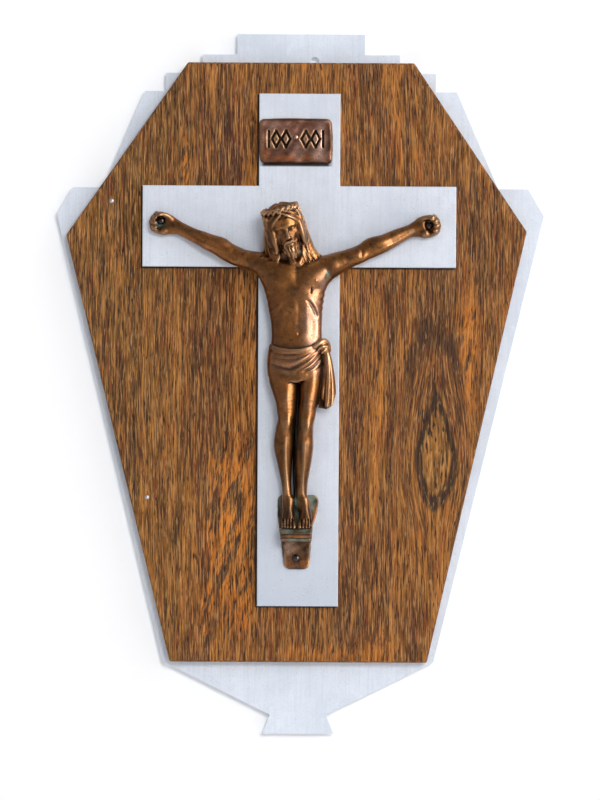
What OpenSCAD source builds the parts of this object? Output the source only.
// Wall crucifix: a stepped sheet metal back plate, a hardwood board, a metal cross
// and a cast figure with its name plaque and foot rest.
// Seen from the front, x runs to the right, z runs up and the front faces -y.
// The origin is the middle of the hanging hole, on the rear face of the back plate.

/* [Back plate] */
// Height of the back plate
plate_h = 400; // [385:1:420]
// Thickness of the sheet
plate_t = 3; // [2:0.5:5]
// Width of the top step
plate_top_w = 73; // [50:1:100]
// Width of the second step
plate_step_w = 112.8; // [105:0.2:130]
// Width of the third step
plate_ledge_w = 154.4; // [140:0.2:165]
// Width of the fourth step
plate_wing_w = 178.4; // [170:0.2:190]
// Height of the top step
top_step_h = 11.7; // [8:0.1:14]
// Height of the second and of the third step
step_h = 10.5; // [8:0.1:12]
// Width across the feet of the sloping wings
wing_foot_w = 226.2; // [215:0.2:240]
// Drop from the top of the plate to its shoulders
shoulder_drop = 88; // [80:0.5:95]
// Width across the shoulders
shoulder_w = 260.4; // [250:0.2:268]
// Width at the widest corners
plate_w = 278.6; // [275:0.2:290]
// Height of the shoulder's slanted corner
corner_h = 15.4; // [10:0.1:20]
// Width at the lower corners
plate_low_w = 154.6; // [150:0.2:170]
// Height of the lower corners above the foot
plate_low_z = 41; // [36:0.5:46]
// Width of the neck above the foot
neck_w = 32; // [24:0.5:38]
// Width of the flared foot
foot_w = 40.6; // [36:0.2:50]
// Height of the flared foot
foot_h = 10.8; // [8:0.1:16]

/* [Hanging hole] */
// Diameter of the hanging hole
hang_d = 4.8; // [3:0.1:6]
// Drop of the hole's middle from the top of the plate
hang_drop = 15.3; // [11:0.1:17]
// Distance of the hole from the middle of the plate, to the right
hang_x = 7.9; // [0:0.1:20]

/* [Board] */
// Thickness of the board
board_t = 10; // [9:0.5:16]
// Height of the board
board_h = 341.3; // [330:0.1:345]
// Drop of the board's top edge from the top of the plate
board_drop = 17.1; // [15:0.1:20]
// Width of the board's top edge
board_top_w = 128.8; // [120:0.2:136]
// Width of the board at its side corners
board_w = 262.2; // [250:0.2:266]
// Width of the board's bottom edge
board_low_w = 146.4; // [138:0.2:150]
// Drop from the board's top to its side corners
board_corner_drop = 97.1; // [90:0.1:104]
// How much lower the left corner lies than the right one
board_corner_skew = 3; // [0:0.5:5]
// How far the side corners lie off the middle, to the left
board_shift = 2.2; // [0:0.1:3]
// Width of the eased front edge
board_ease = 1; // [0.5:0.1:2]
// Radius of the board's worn corners
board_corner_r = 1.6; // [1:0.1:3]

/* [Cross] */
// Height of the cross
cross_h = 291; // [280:1:300]
// Length of the cross bar
bar_l = 178; // [174:1:190]
// Width of the upright
upright_w = 46; // [44:0.5:56]
// Height of the cross bar
bar_w = 46; // [40:0.5:56]
// Thickness of the cross
cross_t = 5; // [4:0.5:8]
// Drop of the cross from the board's top edge
cross_drop = 18.1; // [14:0.1:24]
// Drop of the bar's upper edge from the top of the cross
bar_drop = 52.4; // [46:0.2:60]
// Distance of the cross from the middle of the plate, to the left
cross_shift = 0.6; // [0:0.1:2]
// Width of the broken front edge
cross_ease = 0.4; // [0.2:0.1:1]

/* [Name plaque] */
// Width of the plaque
plaque_w = 42.3; // [36:0.1:46]
// Height of the plaque
plaque_h = 26; // [22:0.1:30]
// Thickness of the plaque's sheet
plaque_t = 1.8; // [1.2:0.1:3]
// Height of the two swellings in the sheet
plaque_swell = 1.1; // [0.5:0.1:2]
// Drop of the plaque from the top of the cross
plaque_drop = 13.7; // [10:0.1:18]
// Distance of the plaque from the middle of the cross, to the left
plaque_shift = 2.2; // [0:0.1:4]
// Diameter of the rivet's head
rivet_head_d = 2.8; // [2:0.1:4]

/* [Figure] */
// Height of the figure from the toes to the crown
figure_h = 183.8; // [165:0.2:190]
// Height of the hand nails above the middle of the bar
hands_rise = 1.6; // [-4:0.2:8]
// Diameter of the shank of a hand nail
nail_d = 2.2; // [1.6:0.1:3]
// Diameter of the domed head of a nail
nail_head_d = 4.6; // [3.6:0.1:6]

/* [Foot rest] */
// Height of the foot rest
rest_h = 42.3; // [38:0.1:48]
// Width of the foot rest at its upper end
rest_top_w = 23.8; // [22:0.1:28]
// Width of the foot rest at its lower end
rest_low_w = 14.4; // [12:0.1:18]
// Thickness of the foot rest's plate
rest_t = 2.4; // [1.6:0.1:4]
// Depth of the ledge in front of the plate
ledge_d = 16.5; // [15:0.5:20]
// Height of the ledge's front edge
ledge_t = 5; // [3:0.1:7]
// Height of the ledge's upper face above the lower end
ledge_rise = 23.7; // [20:0.1:28]

/* [Fasteners] */
// Diameter of the machine screws that hold the cross
cross_screw_d = 4; // [3:0.5:5]
// Distance of the cross screws from the ends of the upright
cross_screw_inset = 10; // [8:0.5:14]
// Distance of the bar's two screws from its ends
bar_screw_inset = 44; // [34:1:54]
// Diameter of the wood screws that hold the plate
wood_screw_d = 3; // [2.5:0.1:4]
// Length of the wood screws
wood_screw_l = 10; // [8:0.5:11]
// Diameter of the panel pins' heads
pin_head_d = 2.7; // [2:0.1:4]
// Clearance all round between a shank and its hole
clearance = 0.1; // [0.05:0.01:0.2]

/* [Hidden] */

metal = "lightsteelblue";
timber = "saddlebrown";
bronze = "peru";
dark_bronze = "sienna";
steel = "silver";

// Faces of a full turn on round pieces, and on round corners of flat ones
$fn = 48;
// How far a cutting body reaches past what it cuts
overrun = 1;

// Levels in front of the wall
board_level = plate_t;
cross_level = board_level + board_t;
front_level = cross_level + cross_t;

// Heights above the foot of the plate
hang_z = plate_h - hang_drop;
board_top_z = plate_h - board_drop;
board_low_z = board_top_z - board_h;
cross_top_z = board_top_z - cross_drop;
cross_low_z = cross_top_z - cross_h;
bar_z = cross_top_z - bar_drop - bar_w / 2;
nail_z = bar_z + hands_rise;

// Places across the plate
cross_x = -cross_shift;
plaque_x = cross_x - plaque_shift;
plaque_z = cross_top_z - plaque_drop - plaque_h / 2;

// Places on the figure, as shares of its height: x to the right of the middle of the cross,
// d out from the front of the cross, and z up from the soles
left_nail_share = [-0.4300, 0.9440];
right_nail_share = [0.3970, 0.9330];
palm_depth_share = 0.026;
// Distance of the figure from the middle of the cross, to the right
figure_shift = 0.6;
figure_x = cross_x + figure_shift;
figure_z = nail_z - (left_nail_share[1] + right_nail_share[1]) / 2 * figure_h;
palm_t = figure_h * palm_depth_share;
left_nail = [figure_x, figure_z] + figure_h * left_nail_share;
right_nail = [figure_x, figure_z] + figure_h * right_nail_share;

// Moves a piece from the foot of the plate to the hanging hole
module in_frame() {
    translate([-hang_x, 0, -hang_z]) children();
}

// Stands a flat outline up, with its rear face at the given level in front of the wall
module stand(level) {
    translate([0, -level, 0]) rotate([90, 0, 0]) children();
}

// A straight hole or shank that points to the front
module shank(x, z, level, r, length) {
    translate([x, 0, z]) stand(level) cylinder(r = r, h = length);
}

function flip(points) = [for (i = [len(points) - 1:-1:0]) [-points[i][0], points[i][1]]];

/* Back plate */

step_z1 = plate_h - top_step_h;
step_z2 = step_z1 - step_h;
step_z3 = step_z2 - step_h;
shoulder_z = plate_h - shoulder_drop;

plate_half = [
    [plate_top_w / 2, plate_h],
    [plate_top_w / 2, step_z1],
    [plate_step_w / 2, step_z1],
    [plate_step_w / 2, step_z2],
    [plate_ledge_w / 2, step_z2],
    [plate_ledge_w / 2, step_z3],
    [plate_wing_w / 2, step_z3],
    [wing_foot_w / 2, shoulder_z],
    [shoulder_w / 2, shoulder_z],
    [plate_w / 2, shoulder_z - corner_h],
    [plate_low_w / 2, plate_low_z],
    [neck_w / 2, foot_h],
    [foot_w / 2, 0],
];

module back_plate() {
    color(metal) in_frame() difference() {
        stand(0) linear_extrude(plate_t) polygon(concat(plate_half, flip(plate_half)));
        shank(hang_x, hang_z, -overrun, hang_d / 2, plate_t + 2 * overrun);
        for (p = plate_screw_places) {
            shank(p[0], p[1], -overrun, wood_screw_d / 2 + clearance, plate_t + 2 * overrun);
            translate([p[0], 0, p[1]]) stand(0) screw_seat(wood_screw_d);
        }
        for (p = pin_places)
            shank(p[0], p[1], -overrun, pin_d / 2 + clearance, plate_t + 2 * overrun);
    }
}

/* Board */

board_left = -board_shift - board_w / 2;
board_right = -board_shift + board_w / 2;
board_corner_z = board_top_z - board_corner_drop;

board_outline = [
    [-board_top_w / 2, board_top_z],
    [board_top_w / 2, board_top_z],
    [board_right, board_corner_z + board_corner_skew / 2],
    [board_low_w / 2, board_low_z],
    [-board_low_w / 2, board_low_z],
    [board_left, board_corner_z - board_corner_skew / 2],
];

// A slab with a straight back and a narrow bevel round its front
module eased_slab(t, ease) {
    hull() {
        linear_extrude(t - ease) children();
        linear_extrude(t) offset(delta = -ease) children();
    }
}

module board() {
    color(timber) in_frame() difference() {
        stand(board_level) eased_slab(board_t, board_ease)
            offset(r = board_corner_r) offset(delta = -board_corner_r) polygon(board_outline);
        for (p = cross_screw_places) {
            shank(p[0], p[1], board_level - overrun, cross_screw_d / 2 + clearance,
                board_t + 2 * overrun);
            translate([p[0], 0, p[1]]) stand(board_level) screw_seat(cross_screw_d);
        }
        for (p = plate_screw_places)
            shank(p[0], p[1], board_level - overrun, wood_screw_d / 2,
                wood_screw_l - plate_t + overrun);
        for (p = pin_places)
            shank(p[0], p[1], board_level - overrun, pin_d / 2, board_t + 2 * overrun);
    }
}

/* Cross */

// Depth of the blind holes in the back of the cross, and of the nail holes in its front
blind_depth = cross_t * 0.7;

// A bar with bevelled front edges, lying round its own middle
module bar(w, h) {
    eased_slab(cross_t, cross_ease) square([w, h], center = true);
}

module cross() {
    color(metal) in_frame() difference() {
        union() {
            translate([cross_x, 0, (cross_top_z + cross_low_z) / 2])
                stand(cross_level) bar(upright_w, cross_h);
            translate([cross_x, 0, bar_z]) stand(cross_level) bar(bar_l, bar_w);
        }
        for (p = cross_screw_places)
            shank(p[0], p[1], cross_level - overrun, cross_screw_d / 2, blind_depth + overrun);
        for (p = [left_nail, right_nail, rest_nail])
            shank(p[0], p[1], front_level - nail_depth, nail_d / 2, nail_depth + overrun);
        shank(plaque_x, rivet_z, front_level - nail_depth, rivet_d / 2, nail_depth + overrun);
    }
}

/* Name plaque */

rivet_d = rivet_head_d * 0.55;
rivet_z = plaque_z + plaque_h * 0.07;
plaque_corner_r = plaque_h * 0.1;
// Dip of the wavy edges
plaque_wave = plaque_h * 0.02;
// Points along each edge of the sheet
plaque_points = 24;

// Height of the sheet's rear face above the cross: two crests, with the rivet between them
function crest(u) = plaque_swell * (1 - cos(u * 720)) / 2;

module plaque_sheet() {
    steps = [for (i = [0:plaque_points]) i / plaque_points];
    rear = [for (u = steps) [(u - 0.5) * plaque_w, crest(u)]];
    front = [for (i = [plaque_points:-1:0]) rear[i] + [0, plaque_t]];
    translate([0, -front_level, -plaque_h]) mirror([0, 1, 0])
        linear_extrude(2 * plaque_h) polygon(concat(rear, front));
}

module plaque_outline() {
    w = plaque_w / 2 - plaque_corner_r;
    h = plaque_h / 2 - plaque_corner_r;
    edge = [for (i = [0:plaque_points]) i / plaque_points];
    offset(r = plaque_corner_r) polygon(concat(
        [for (u = edge) [w * (2 * u - 1), h + plaque_wave * sin(u * 300)]],
        [for (u = edge) [w * (1 - 2 * u), -h - plaque_wave * sin(u * 420)]]
    ));
}

module titulus() {
    color(dark_bronze) in_frame() difference() {
        intersection() {
            translate([plaque_x, 0, plaque_z]) plaque_sheet();
            translate([plaque_x, 0, plaque_z]) stand(front_level) linear_extrude(plaque_h)
                plaque_outline();
        }
        shank(plaque_x, rivet_z, front_level - overrun, rivet_d / 2 + clearance,
            plaque_h);
    }
}

/* Nails, rivets and screws */

// Depth that nails and rivets reach into the cross
nail_depth = cross_t * 0.7;
pin_d = pin_head_d * 0.5;
// Height of a nail's domed head, as a share of its diameter
dome_share = 0.32;

// A nail along z with its tip at zero: a straight shank under a domed head
module domed_nail(length, d, head_d) {
    dome_h = head_d * dome_share;
    ball_r = (head_d * head_d / 4 + dome_h * dome_h) / (2 * dome_h);
    cylinder(r = d / 2, h = length);
    translate([0, 0, length]) intersection() {
        translate([0, 0, dome_h - ball_r]) sphere(r = ball_r, $fn = 64);
        cylinder(r = head_d / 2, h = dome_h);
    }
}

module nail_at(p, level, length, d, head_d) {
    translate([p[0], 0, p[1]]) stand(level) domed_nail(length, d, head_d);
}

module titulus_rivet() {
    color(bronze) in_frame() nail_at([plaque_x, rivet_z], front_level - nail_depth,
        nail_depth + plaque_t + clearance, rivet_d, rivet_head_d);
}

module left_hand_nail() {
    color(dark_bronze) in_frame() nail_at(left_nail, front_level - nail_depth,
        nail_depth + palm_t, nail_d, nail_head_d);
}

module right_hand_nail() {
    color(dark_bronze) in_frame() nail_at(right_nail, front_level - nail_depth,
        nail_depth + palm_t, nail_d, nail_head_d);
}

module foot_rest_nail() {
    color(dark_bronze) in_frame() nail_at(rest_nail, front_level - nail_depth,
        nail_depth + rest_t, nail_d, nail_head_d);
}

// Countersunk head: its rim, its depth and the width and depth of its slot, for a screw
// of the given thread diameter
function head_r(d) = d * 0.95;
function head_h(d) = d * 0.5;
function slot_w(d) = d * 0.25;
function slot_depth(d) = d * 0.22;

// The recess for a countersunk head, open to the back at zero
module screw_seat(d) {
    rotate_extrude() polygon([
        [0, -overrun],
        [head_r(d) + clearance, -overrun],
        [head_r(d) + clearance, clearance],
        [d / 2 + clearance, head_h(d) + clearance],
        [0, head_h(d) + clearance],
    ]);
}

// A slotted screw along z with its head at zero and a tapered tip
module slotted_screw(d, length, tip) {
    difference() {
        rotate_extrude() polygon([
            [0, clearance],
            [head_r(d), clearance],
            [d / 2, head_h(d)],
            [d / 2, length - tip],
            [d / 2 - tip * 0.25, length],
            [0, length],
        ]);
        translate([-d, -slot_w(d) / 2, -overrun]) cube([2 * d, slot_w(d), slot_depth(d) + overrun]);
    }
}

// Two screws in the upright and two in the bar
cross_screw_places = [
    [cross_x, cross_top_z - cross_screw_inset],
    [cross_x, cross_low_z + cross_screw_inset],
    [cross_x - bar_l / 2 + bar_screw_inset, bar_z],
    [cross_x + bar_l / 2 - bar_screw_inset, bar_z],
];

// Three pairs of screws near the edge of the board
screw_inset_share = 0.8;
plate_screw_places = [
    for (side = [-1, 1]) each [
        [side * board_top_w / 2 * screw_inset_share, board_top_z - cross_drop],
        [side * board_w / 2 * screw_inset_share, board_corner_z],
        [side * board_low_w / 2 * screw_inset_share, board_low_z + cross_drop],
    ]
];

// Two panel pins near the left edge, as shares of the board's half width and height
pin_shares = [[-0.82, 0.768], [-0.66, 0.274]];
pin_places = [
    for (p = pin_shares) [p[0] * board_w / 2, board_low_z + p[1] * board_h]
];

module cross_screws() {
    color(steel) in_frame() for (p = cross_screw_places)
        translate([p[0], 0, p[1]]) stand(board_level)
            slotted_screw(cross_screw_d, board_t + blind_depth - clearance, blind_depth / 2);
}

module plate_screws() {
    color(steel) in_frame() for (p = plate_screw_places)
        translate([p[0], 0, p[1]]) stand(0)
            slotted_screw(wood_screw_d, wood_screw_l - clearance, wood_screw_d);
}

module board_pins() {
    color(steel) in_frame() for (p = pin_places)
        nail_at(p, 0, cross_level, pin_d, pin_head_d);
}

/* Foot rest */

// The foot rest lies where its ledge carries the soles
rest_low_z = figure_z - ledge_rise;
// Distance of the foot rest from the middle of the cross, to the right
rest_shift = 0.2;
rest_x = cross_x + rest_shift;
rest_nail = [rest_x - rest_low_w * 0.08, rest_low_z + rest_h * 0.15];

rest_corner_r = rest_top_w * 0.16;
rest_waist_w = rest_low_w + (rest_top_w - rest_low_w) * 0.48;

// Outline of the plate: round upper corners, a step in at the ledge and a narrow tab
module rest_outline() {
    hull() {
        for (side = [-1, 1])
            translate([side * (rest_top_w / 2 - rest_corner_r), rest_h - rest_corner_r])
                circle(r = rest_corner_r, $fn = 32);
        translate([-rest_waist_w / 2, ledge_rise - ledge_t]) square([rest_waist_w, ledge_t]);
    }
    hull() {
        translate([-rest_waist_w / 2, ledge_rise - 2 * ledge_t]) square([rest_waist_w, ledge_t]);
        for (side = [-1, 1])
            translate([side * (rest_low_w / 2 - rest_corner_r / 2), rest_corner_r / 2])
                circle(r = rest_corner_r / 2, $fn = 32);
    }
    translate([-rest_waist_w / 2, ledge_rise - 2 * ledge_t]) square([rest_waist_w, 2 * ledge_t]);
}

// Side view of the ledge: a round nose, and a hollow that runs back into the plate below
ledge_nose_h = ledge_t * 0.36;
ledge_nose_d = ledge_t * 0.5;
ledge_steps = 8;
ledge_profile = concat(
    [[0, ledge_rise], [ledge_d - ledge_nose_d, ledge_rise]],
    [for (i = [0:ledge_steps]) [
        ledge_d - ledge_nose_d * (1 - sin(90 * i / ledge_steps)),
        ledge_rise - ledge_nose_h * (1 - cos(90 * i / ledge_steps))]],
    [for (i = [0:ledge_steps]) [
        ledge_d * (1 - sin(90 * i / ledge_steps)),
        ledge_rise - ledge_t - ledge_t * 0.8 * (1 - cos(90 * i / ledge_steps))]]
);

module foot_rest() {
    color(bronze) in_frame() translate([rest_x, 0, rest_low_z]) difference() {
        union() {
            stand(front_level) linear_extrude(rest_t) rest_outline();
            translate([-rest_waist_w / 2, -front_level - rest_t + rest_t / 2, 0])
                rotate([90, 0, 90]) mirror([1, 0, 0])
                    linear_extrude(rest_waist_w) polygon(ledge_profile);
        }
        shank(rest_nail[0] - rest_x, rest_nail[1] - rest_low_z, front_level - overrun,
            nail_d / 2 + clearance, rest_t + 2 * overrun);
    }
}

/* Figure */

// Smooth curve through rows of numbers
function clamped(rows, i) = rows[max(0, min(len(rows) - 1, i))];
function curve(a, b, c, d, t) =
    (2 * b + (c - a) * t + (2 * a - 5 * b + 4 * c - d) * t ^ 2 + (3 * b - a - 3 * c + d) * t ^ 3) / 2;
function smooth(rows, steps) = concat(
    [for (i = [0:len(rows) - 2]) for (j = [0:steps - 1])
        curve(clamped(rows, i - 1), rows[i], rows[i + 1], clamped(rows, i + 2), j / steps)],
    [rows[len(rows) - 1]]
);

function unit(v) = v / norm(v);
function total(v, i = 0) = i == len(v) ? 0 : v[i] + total(v, i + 1);
function bell(t) = exp(-t * t);
// Swelling at an angle and a height: rows of angle, spread, height, spread and rise
function swelling(rows, a, z) = total([
    for (r = rows) r[4] * bell((a - r[0]) / r[1]) * bell((z - r[2]) / r[3])
]);

// A solid through rings that all have the same number of points; a loop has no ends
module skin(rings, loop = false) {
    n = len(rings[0]);
    count = len(rings);
    bands = loop ? count : count - 1;
    polyhedron(
        points = [for (ring = rings) each ring],
        faces = concat(
            loop ? [] : [[for (i = [0:n - 1]) i]],
            [for (j = [0:bands - 1]) for (i = [0:n - 1])
                let (low = j * n, high = (j + 1) % count * n, next = (i + 1) % n) each [
                    [low + i, high + i, high + next],
                    [low + i, high + next, low + next]]],
            loop ? [] : [[for (i = [n - 1:-1:0]) (count - 1) * n + i]]
        )
    );
}

// Upright loft: rows of height, x, d, half width and half depth; the angle is 0 in front
function upright_ring(row, n, rows) = [
    for (i = [0:n - 1])
        let (a = 360 * i / n - 180, f = 1 + swelling(rows, a, row[0]))
        [row[1] + row[3] * f * sin(a), -row[2] - row[4] * f * cos(a), row[0]]
];

// Tube along a path: rows of x, d, z, half width across and half depth to the given side
function tube_ring(rows, j, n, toward) = let (
    row = rows[j],
    back = clamped(rows, j - 1),
    ahead = clamped(rows, j + 1),
    along = unit([ahead[0] - back[0], back[1] - ahead[1], ahead[2] - back[2]]),
    front = unit(toward - (toward * along) * along),
    side = cross(along, front)
) [
    for (i = [0:n - 1]) let (a = 360 * i / n)
        [row[0], -row[1], row[2]] + row[3] * sin(a) * side + row[4] * cos(a) * front
];

module tube(rows, steps, n, toward = [0, -1, 0]) {
    path = smooth(rows, steps);
    skin([for (j = [0:len(path) - 1]) tube_ring(path, j, n, toward)]);
}

// Trunk from the neck to the hips, and what swells on it: breast, rib arch, belly, flanks
trunk_shares = [
    [0.545, -0.009, 0.049, 0.079, 0.045],
    [0.600, -0.010, 0.049, 0.077, 0.041],
    [0.641, -0.011, 0.051, 0.079, 0.044],
    [0.672, -0.013, 0.052, 0.084, 0.049],
    [0.703, -0.014, 0.053, 0.089, 0.052],
    [0.738, -0.016, 0.054, 0.095, 0.053],
    [0.761, -0.017, 0.053, 0.093, 0.049],
    [0.785, -0.016, 0.052, 0.085, 0.045],
    [0.807, -0.014, 0.052, 0.066, 0.039],
    [0.828, -0.014, 0.054, 0.040, 0.032],
    [0.865, -0.022, 0.066, 0.030, 0.029],
];
trunk_swell_shares = [
    [-38, 26, 0.742, 0.030, 0.10],
    [38, 26, 0.742, 0.030, 0.10],
    [0, 10, 0.735, 0.045, -0.06],
    [-30, 14, 0.672, 0.018, 0.07],
    [30, 14, 0.672, 0.018, 0.07],
    [0, 22, 0.640, 0.030, -0.10],
    [0, 9, 0.590, 0.050, -0.03],
    [-24, 14, 0.590, 0.040, 0.04],
    [24, 14, 0.590, 0.040, 0.04],
    [0, 30, 0.560, 0.020, 0.05],
];

trunk_sides = 30;

module trunk() {
    path = smooth(trunk_shares, 2);
    skin([for (row = path) upright_ring(row, trunk_sides, trunk_swell_shares)]);
}

// Head in its own axes, chin to crown, then tilted and bowed into place
head_shares = [
    [-0.004, 0, 0.018, 0.008, 0.010],
    [0.008, 0, 0.014, 0.024, 0.027],
    [0.032, 0, 0.006, 0.042, 0.044],
    [0.062, 0, 0.001, 0.053, 0.056],
    [0.094, 0, -0.002, 0.060, 0.062],
    [0.122, 0, -0.003, 0.057, 0.059],
    [0.144, 0, -0.003, 0.041, 0.043],
    [0.156, 0, -0.003, 0.015, 0.016],
];
head_swell_shares = [
    [0, 9, 0.062, 0.014, 0.20],
    [0, 60, 0.092, 0.008, 0.05],
    [-24, 11, 0.079, 0.006, -0.10],
    [24, 11, 0.079, 0.006, -0.10],
    [0, 22, 0.044, 0.004, 0.08],
    [0, 26, 0.036, 0.003, -0.07],
    [0, 30, 0.020, 0.010, 0.14],
];
head_tilt = 17;
head_nod = 20;
head_place_shares = [-0.0263, 0.074, 0.853];
head_sides = 36;
hair_lines = 9;
hair_depth_share = 0.05;
// Angle from the middle of the face to the edge of the hair, and the turn of its waves
hair_edge = 62;
hair_wave = 1500;

// Hair covers all but the face, and is combed down in strands
function strand(a, z) = abs(a) < hair_edge && z < crown_z_share
    ? 0 : hair_depth_share * (cos(a * hair_lines + z * hair_wave) + 1);

module head() {
    path = smooth(head_shares, 2);
    skin([for (row = path) [
        for (i = [0:head_sides - 1]) let (
            a = 360 * i / head_sides - 180,
            f = 1 + swelling(head_swell_shares, a, row[0]) + strand(a, row[0])
        ) [row[1] + row[3] * f * sin(a), -row[2] - row[4] * f * cos(a), row[0]]
    ]]);
}

// Crown of thorns: a twisted band round the brow, flat in section
crown_z_share = 0.116;
crown_r_shares = [0.060, 0.063];
crown_thick_shares = [0.0095, 0.0055];
crown_twists = 5;
crown_rings = 30;
crown_sides = 6;

module crown() {
    skin(loop = true, rings = [for (j = [0:crown_rings - 1]) let (
        a = 360 * j / crown_rings,
        across = [crown_r_shares[0] * sin(a), -crown_r_shares[1] * cos(a), 0],
        wind = a * crown_twists
    ) [for (i = [0:crown_sides - 1]) let (
            u = crown_thick_shares[0] * cos(360 * i / crown_sides),
            v = -crown_thick_shares[1] * sin(360 * i / crown_sides)
        ) across + [0, 0, crown_z_share]
            + (u * cos(wind) - v * sin(wind)) * unit(across)
            + [0, 0, u * sin(wind) + v * cos(wind)]]]);
}

// Long locks that fall beside the face to the shoulders
locks_shares = [
    [[-0.100, 0.070, 0.960, 0.012, 0.020], [-0.100, 0.066, 0.910, 0.018, 0.026],
        [-0.090, 0.062, 0.865, 0.020, 0.026], [-0.090, 0.066, 0.830, 0.018, 0.020],
        [-0.088, 0.076, 0.806, 0.010, 0.012]],
    [[-0.090, 0.092, 0.930, 0.012, 0.016], [-0.086, 0.094, 0.885, 0.014, 0.016],
        [-0.078, 0.094, 0.845, 0.013, 0.014], [-0.076, 0.100, 0.812, 0.010, 0.009],
        [-0.072, 0.104, 0.794, 0.004, 0.004]],
    [[-0.004, 0.080, 0.961, 0.012, 0.020], [0.002, 0.072, 0.915, 0.018, 0.026],
        [0.014, 0.064, 0.870, 0.020, 0.026], [0.030, 0.060, 0.840, 0.020, 0.020],
        [0.046, 0.058, 0.820, 0.010, 0.012]],
    [[-0.008, 0.096, 0.930, 0.012, 0.014], [0.002, 0.094, 0.885, 0.013, 0.014],
        [0.014, 0.086, 0.850, 0.013, 0.014], [0.026, 0.084, 0.820, 0.006, 0.007]],
];

lock_sides = 8;

module bowed_head() {
    translate([head_place_shares[0], -head_place_shares[1], head_place_shares[2]])
        rotate([head_nod, -head_tilt, 0]) {
            head();
            crown();
        }
    for (lock = locks_shares) tube(lock, 1, lock_sides);
}

// Arms from the shoulder to the wrist
left_arm_shares = [
    [-0.034, 0.050, 0.776, 0.028, 0.030],
    [-0.084, 0.052, 0.795, 0.040, 0.041],
    [-0.125, 0.050, 0.812, 0.033, 0.036],
    [-0.150, 0.048, 0.820, 0.030, 0.033],
    [-0.180, 0.046, 0.829, 0.029, 0.030],
    [-0.217, 0.042, 0.845, 0.030, 0.029],
    [-0.255, 0.038, 0.866, 0.028, 0.027],
    [-0.292, 0.036, 0.883, 0.026, 0.025],
    [-0.330, 0.031, 0.900, 0.021, 0.020],
    [-0.362, 0.026, 0.917, 0.020, 0.017],
    [-0.385, 0.023, 0.927, 0.022, 0.016],
    [-0.408, 0.019, 0.936, 0.020, 0.010],
];
right_arm_shares = [
    [0.010, 0.050, 0.776, 0.028, 0.030],
    [0.064, 0.052, 0.793, 0.040, 0.041],
    [0.118, 0.050, 0.816, 0.033, 0.036],
    [0.148, 0.048, 0.829, 0.029, 0.032],
    [0.185, 0.045, 0.845, 0.028, 0.029],
    [0.222, 0.041, 0.863, 0.030, 0.028],
    [0.259, 0.037, 0.878, 0.028, 0.026],
    [0.297, 0.033, 0.897, 0.025, 0.023],
    [0.330, 0.028, 0.912, 0.021, 0.018],
    [0.352, 0.024, 0.921, 0.022, 0.016],
    [0.374, 0.020, 0.928, 0.020, 0.010],
];

// A cupped hand round its nail: palm, four bent fingers and the thumb.
// side is -1 on the left and 1 on the right; lean turns it to the arm.
palm_shares = [
    [-0.034, 0.018, 0.000, 0.018, 0.013],
    [-0.018, 0.016, 0.000, 0.028, 0.014],
    [0.000, 0.014, 0.000, 0.033, 0.013],
    [0.018, 0.015, 0.000, 0.032, 0.013],
    [0.028, 0.018, 0.000, 0.022, 0.010],
];
finger_spread_shares = [-0.0235, -0.0080, 0.0080, 0.0235];
finger_shares = [
    [0.018, 0.016, 0.0076],
    [0.031, 0.024, 0.0076],
    [0.034, 0.038, 0.0072],
    [0.025, 0.047, 0.0064],
    [0.014, 0.046, 0.0045],
];
thumb_shares = [
    [-0.020, 0.020, 0.024, 0.010, 0.010],
    [-0.004, 0.030, 0.031, 0.009, 0.009],
    [0.012, 0.040, 0.028, 0.008, 0.008],
    [0.020, 0.044, 0.020, 0.005, 0.005],
];

// How far the outer fingers stay back, as a share of their distance from the middle one
finger_fall = 0.25;
palm_sides = 12;
finger_sides = 8;
left_hand_lean = 22;
right_hand_lean = 18;

module hand(place, side, lean) {
    translate([place[0], 0, place[1]]) rotate([0, -side * lean, 0])
        mirror([side < 0 ? 1 : 0, 0, 0]) {
            tube(palm_shares, 1, palm_sides);
            for (z = finger_spread_shares) tube([
                for (f = finger_shares) [f[0] - abs(z) * finger_fall, f[1], z, f[2], f[2]]
            ], 1, finger_sides, [0, 0, 1]);
            tube(thumb_shares, 1, finger_sides, [0, 0, 1]);
        }
}

// Legs from the hip to the sole
left_leg_shares = [
    [-0.048, 0.050, 0.480, 0.040, 0.044],
    [-0.049, 0.052, 0.424, 0.037, 0.044],
    [-0.045, 0.055, 0.378, 0.0325, 0.038],
    [-0.041, 0.059, 0.331, 0.027, 0.032],
    [-0.045, 0.053, 0.298, 0.026, 0.031],
    [-0.0487, 0.045, 0.254, 0.030, 0.034],
    [-0.0437, 0.040, 0.192, 0.024, 0.028],
    [-0.0405, 0.038, 0.1455, 0.0178, 0.021],
    [-0.0380, 0.036, 0.099, 0.0145, 0.019],
    [-0.0360, 0.038, 0.068, 0.0180, 0.024],
    [-0.0335, 0.048, 0.042, 0.0215, 0.020],
    [-0.0325, 0.060, 0.020, 0.0220, 0.012],
    [-0.0325, 0.066, 0.010, 0.0180, 0.007],
];
right_leg_shares = [
    [0.030, 0.050, 0.480, 0.040, 0.044],
    [0.030, 0.052, 0.424, 0.037, 0.044],
    [0.028, 0.055, 0.378, 0.033, 0.038],
    [0.021, 0.060, 0.331, 0.0265, 0.032],
    [0.018, 0.054, 0.298, 0.026, 0.031],
    [0.0165, 0.046, 0.254, 0.0275, 0.034],
    [0.0127, 0.040, 0.192, 0.0235, 0.028],
    [0.0095, 0.038, 0.1455, 0.0185, 0.021],
    [0.0080, 0.036, 0.099, 0.0160, 0.019],
    [0.0135, 0.038, 0.068, 0.0190, 0.024],
    [0.0180, 0.048, 0.042, 0.0220, 0.020],
    [0.0195, 0.060, 0.020, 0.0220, 0.012],
    [0.0195, 0.066, 0.010, 0.0180, 0.007],
];

arm_sides = 14;
leg_sides = 16;

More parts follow.
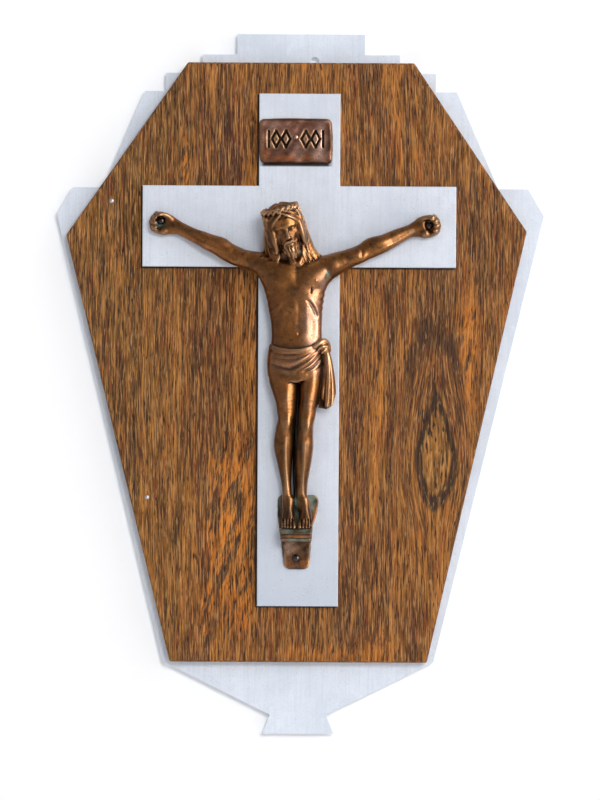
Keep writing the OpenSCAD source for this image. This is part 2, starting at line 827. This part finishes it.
// Toes side by side: the first row is the big toe, next to the other foot
toe_shares = [
    [-0.0160, 0.0056], [-0.0060, 0.0044], [0.0025, 0.0042], [0.0105, 0.0040], [0.0180, 0.0036],
];
left_toes_share = -0.0330;
right_toes_share = 0.0195;

// A toe from its root to its tip: rows of depth, of how far that falls back away from the
// middle of the foot, of height, and of its width and thickness
toe_path_shares = [
    [0.064, 0.2, 0.026, 1.0, 1.2],
    [0.071, 0.3, 0.012, 1.0, 1.2],
    [0.073, 0.4, -0.001, 0.9, 1.0],
];
toe_sides = 6;

module toes(x, side) {
    for (toe = toe_shares)
        tube([for (p = toe_path_shares)
            [x + side * toe[0], p[0] - abs(toe[0]) * p[1], p[2], toe[1] * p[3], toe[1] * p[4]]
        ], 1, toe_sides);
}

// Loincloth: a wrap whose folds run from the knot on the right hip, with a slanting hem
cloth_shares = [
    [0.450, -0.0130, 0.051, 0.0830, 0.054],
    [0.475, -0.0140, 0.051, 0.0850, 0.057],
    [0.510, -0.0140, 0.051, 0.0865, 0.058],
    [0.545, -0.0120, 0.050, 0.0850, 0.056],
    [0.568, -0.0095, 0.050, 0.0830, 0.052],
];
wrap_sides = 44;
knot_angle = 78;
knot_shares = [0.074, 0.062, 0.566];
fold_count = 4;
fold_share = 0.055;
// Angle at which a fold that leaves the knot hangs lowest, and the least share of that drop
sag_angle = 130;
least_sag = 0.14;
hem_lift_share = 0.018;
waist_dip_share = 0.018;
dip_angle = -25;
dip_spread = 40;

// Folds start together at the knot, hang down across the front and rise to the other hip:
// how far round from the knot, how low the lowest fold hangs there, and how far down to it
function way(a) = max(0, min(1, (knot_angle - a) / (knot_angle + 90)));
function sag(a) = max(least_sag, sin(sag_angle * way(a)));
function drop(a, z) = min(1,
    (knot_shares[2] - z) / (knot_shares[2] - cloth_shares[0][0]) / sag(a));
function fold(a, z) = fold_share * sin(180 * way(a)) * (1 - cos(360 * fold_count * drop(a, z)));
function dip(a) = waist_dip_share * bell((a - dip_angle) / dip_spread);

module wrap() {
    path = smooth(cloth_shares, 3);
    low = path[0][0];
    high = path[len(path) - 1][0];
    skin([for (row = path) [
        for (i = [0:wrap_sides - 1]) let (
            a = 360 * i / wrap_sides - 180,
            u = (row[0] - low) / (high - low),
            lift = (1 - u) * hem_lift_share * sin(max(-90, min(90, a))) - u * dip(a),
            f = 1 + fold(a, row[0] + lift)
        ) [row[1] + row[3] * f * sin(a), -row[2] - row[4] * f * cos(a), row[0] + lift]
    ]]);
}

// Rolled edge round the waist
waist_roll_share = 0.0085;
waist_rings = 30;
waist_sides = 6;
// How far out the roll lies, as a share of the cloth's half width
roll_place = 0.97;

module waist_roll() {
    skin(loop = true, rings = [for (j = [0:waist_rings - 1]) let (
        a = 360 * j / waist_rings - 180,
        top = cloth_shares[len(cloth_shares) - 1],
        across = [sin(a) * top[3], -cos(a) * top[4], 0],
        middle = [top[1], -top[2], top[0] - dip(a)] + across * roll_place
    ) [for (i = [0:waist_sides - 1]) let (turn = 360 * i / waist_sides) middle
        + waist_roll_share * (cos(turn) * unit(across) - [0, 0, sin(turn)])]]);
}

// Tail of the cloth that hangs in pleats from the knot
tail_shares = [
    [0.372, 0.0880, 0.046, 0.0200, 0.018],
    [0.400, 0.0885, 0.047, 0.0220, 0.020],
    [0.460, 0.0860, 0.050, 0.0190, 0.018],
    [0.530, 0.0800, 0.056, 0.0140, 0.014],
    [0.565, 0.0760, 0.060, 0.0080, 0.010],
];
tail_pleats = 7;
tail_pleat_share = 0.14;
tail_sides = 28;

module tail() {
    path = smooth(tail_shares, 2);
    skin([for (row = path) [
        for (i = [0:tail_sides - 1]) let (
            a = 360 * i / tail_sides - 180,
            f = 1 + tail_pleat_share * cos(a * tail_pleats)
        ) [row[1] + row[3] * f * sin(a), -row[2] - row[4] * f * cos(a), row[0]]
    ]]);
}

knot_r_share = 0.0165;
knot_stretch = [1, 0.9, 1.25];
knot_lean = 25;

module knot() {
    translate([knot_shares[0], -knot_shares[1], knot_shares[2]]) rotate([0, knot_lean, 0])
        scale(knot_stretch) sphere(r = knot_r_share, $fn = 14);
}

// What is taken away: the back that seats on the cross and on the foot rest, the nail holes,
// and all that lies below the soles or above the full height
module seat_cuts() {
    seat_w = 1.2;
    rest_share = (rest_t + clearance) / figure_h;
    rest_top_share = (rest_h - ledge_rise + clearance) / figure_h;
    hole_share = (nail_d / 2 + clearance) / figure_h;
    nail_seat_share = (nail_head_d / 2 + clearance) / figure_h;
    translate([-seat_w / 2, 0, -seat_w / 2]) cube([seat_w, seat_w, 2 * seat_w]);
    translate([-seat_w / 2, -rest_share, -seat_w]) cube([seat_w, seat_w, seat_w + rest_top_share]);
    for (z = [-seat_w, 1])
        translate([-seat_w / 2, -seat_w, z]) cube([seat_w, 2 * seat_w, seat_w]);
    for (p = [left_nail_share, right_nail_share]) translate([p[0], 0, p[1]]) rotate([90, 0, 0]) {
        translate([0, 0, -seat_w / 2]) cylinder(r = hole_share, h = seat_w, $fn = 24);
        translate([0, 0, palm_depth_share]) cylinder(r = nail_seat_share, h = seat_w / 8, $fn = 24);
    }
}

module figure() {
    difference() {
        union() {
            trunk();
            bowed_head();
            for (arm = [left_arm_shares, right_arm_shares]) tube(arm, 1, arm_sides);
            hand(left_nail_share, -1, left_hand_lean);
            hand(right_nail_share, 1, right_hand_lean);
            for (leg = [left_leg_shares, right_leg_shares]) tube(leg, 1, leg_sides);
            toes(left_toes_share, -1);
            toes(right_toes_share, 1);
            wrap();
            waist_roll();
            tail();
            knot();
        }
        seat_cuts();
    }
}

module corpus() {
    color(bronze) in_frame() translate([figure_x, -front_level, figure_z])
        resize([0, 0, figure_h], auto = true) figure();
}

back_plate();
board();
cross();
titulus();
titulus_rivet();
corpus();
left_hand_nail();
right_hand_nail();
foot_rest();
foot_rest_nail();
cross_screws();
plate_screws();
board_pins();
